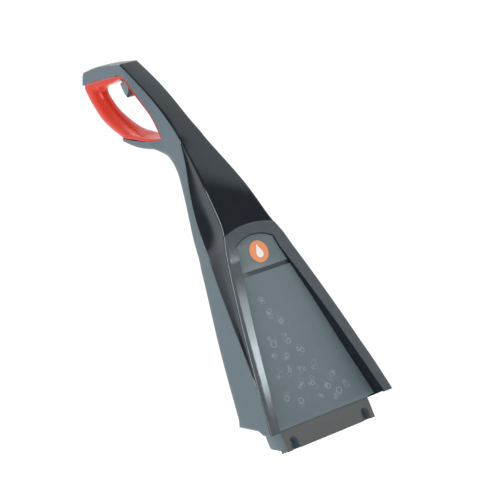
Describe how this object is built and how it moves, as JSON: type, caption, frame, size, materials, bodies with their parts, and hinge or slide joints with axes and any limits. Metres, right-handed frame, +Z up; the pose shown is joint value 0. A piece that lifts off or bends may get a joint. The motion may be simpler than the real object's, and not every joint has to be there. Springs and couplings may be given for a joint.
{
  "type": "upright carpet cleaner handle",
  "caption": "Tapered upper handle of an upright carpet cleaner: closed hand loop with soft grip, spray trigger and rod, framed front panel and a plug-in tongue.",
  "frame": {"origin": "centre of the tongue's flat front face, midway between its two fixing screws", "axes": "+Z up along the handle from the tongue to the hand loop, -Y out of the front panel, +Y to the rear where the loop is, X sideways"},
  "size_m": [0.2286, 0.2633, 0.6442],
  "materials": {
    "slate_plastic": "satin moulded",
    "black_gloss": "polished",
    "slate_panel": "fine satin",
    "grey_satin": "satin",
    "orange_print": "printed",
    "white_print": "printed",
    "red_grip": "soft satin",
    "black_rubber": "matt",
    "black_plastic": "moulded",
    "steel": "zinc plated"
  },
  "bodies": {
    "handle": {"rear_shell": "slate_plastic", "front_cover": "black_gloss", "panel_insert": "slate_panel", "badge_plate": "grey_satin", "emblem_disc": "orange_print", "emblem_drop": "white_print", "grip_overmould": "red_grip", "grip_core": "grey_satin", "loop_side_cover": "slate_plastic", "loop_side_screws": "steel", "cover_screws": "steel", "tongue_sleeves": "steel", "trigger_pin": "steel", "trigger_spring": "steel", "upper_guide_high": "black_plastic", "upper_guide_low": "black_plastic", "lower_guide_high": "black_plastic", "lower_guide_low": "black_plastic", "lower_rod_spring": "steel"},
    "trigger": {"trigger": "slate_plastic", "trigger_pad": "black_rubber"},
    "upper_rod": {"upper_rod": "black_plastic", "upper_rod_head": "black_plastic", "upper_rod_foot": "black_plastic"},
    "lower_rod": {"lower_rod": "black_plastic", "lower_rod_collar": "black_plastic"}
  },
  "joints": [
    {"name": "trigger_pull", "type": "hinge", "parent": "handle", "child": "trigger", "pos_m": [0, 0.14102, 0.58538], "axis": [1, 0, 0], "range_deg": [0, 16], "stiffness_Nm_per_rad": 0.15, "springref_deg": -14.32},
    {"name": "upper_rod_slide", "type": "slide", "parent": "handle", "child": "upper_rod", "axis": [0, -0.4147, -0.91], "range_m": [0, 0.0061]},
    {"name": "lower_rod_slide", "type": "slide", "parent": "handle", "child": "lower_rod", "axis": [0, 0, -1], "range_m": [0, 0.0056], "deforming": ["lower_rod_spring"]}
  ],
  "couplings": [
    {"joint": "trigger_pull", "follows": "upper_rod_slide", "rad_per_m": 45.455},
    {"joint": "lower_rod_slide", "follows": "upper_rod_slide", "ratio": 0.90996}
  ]
}
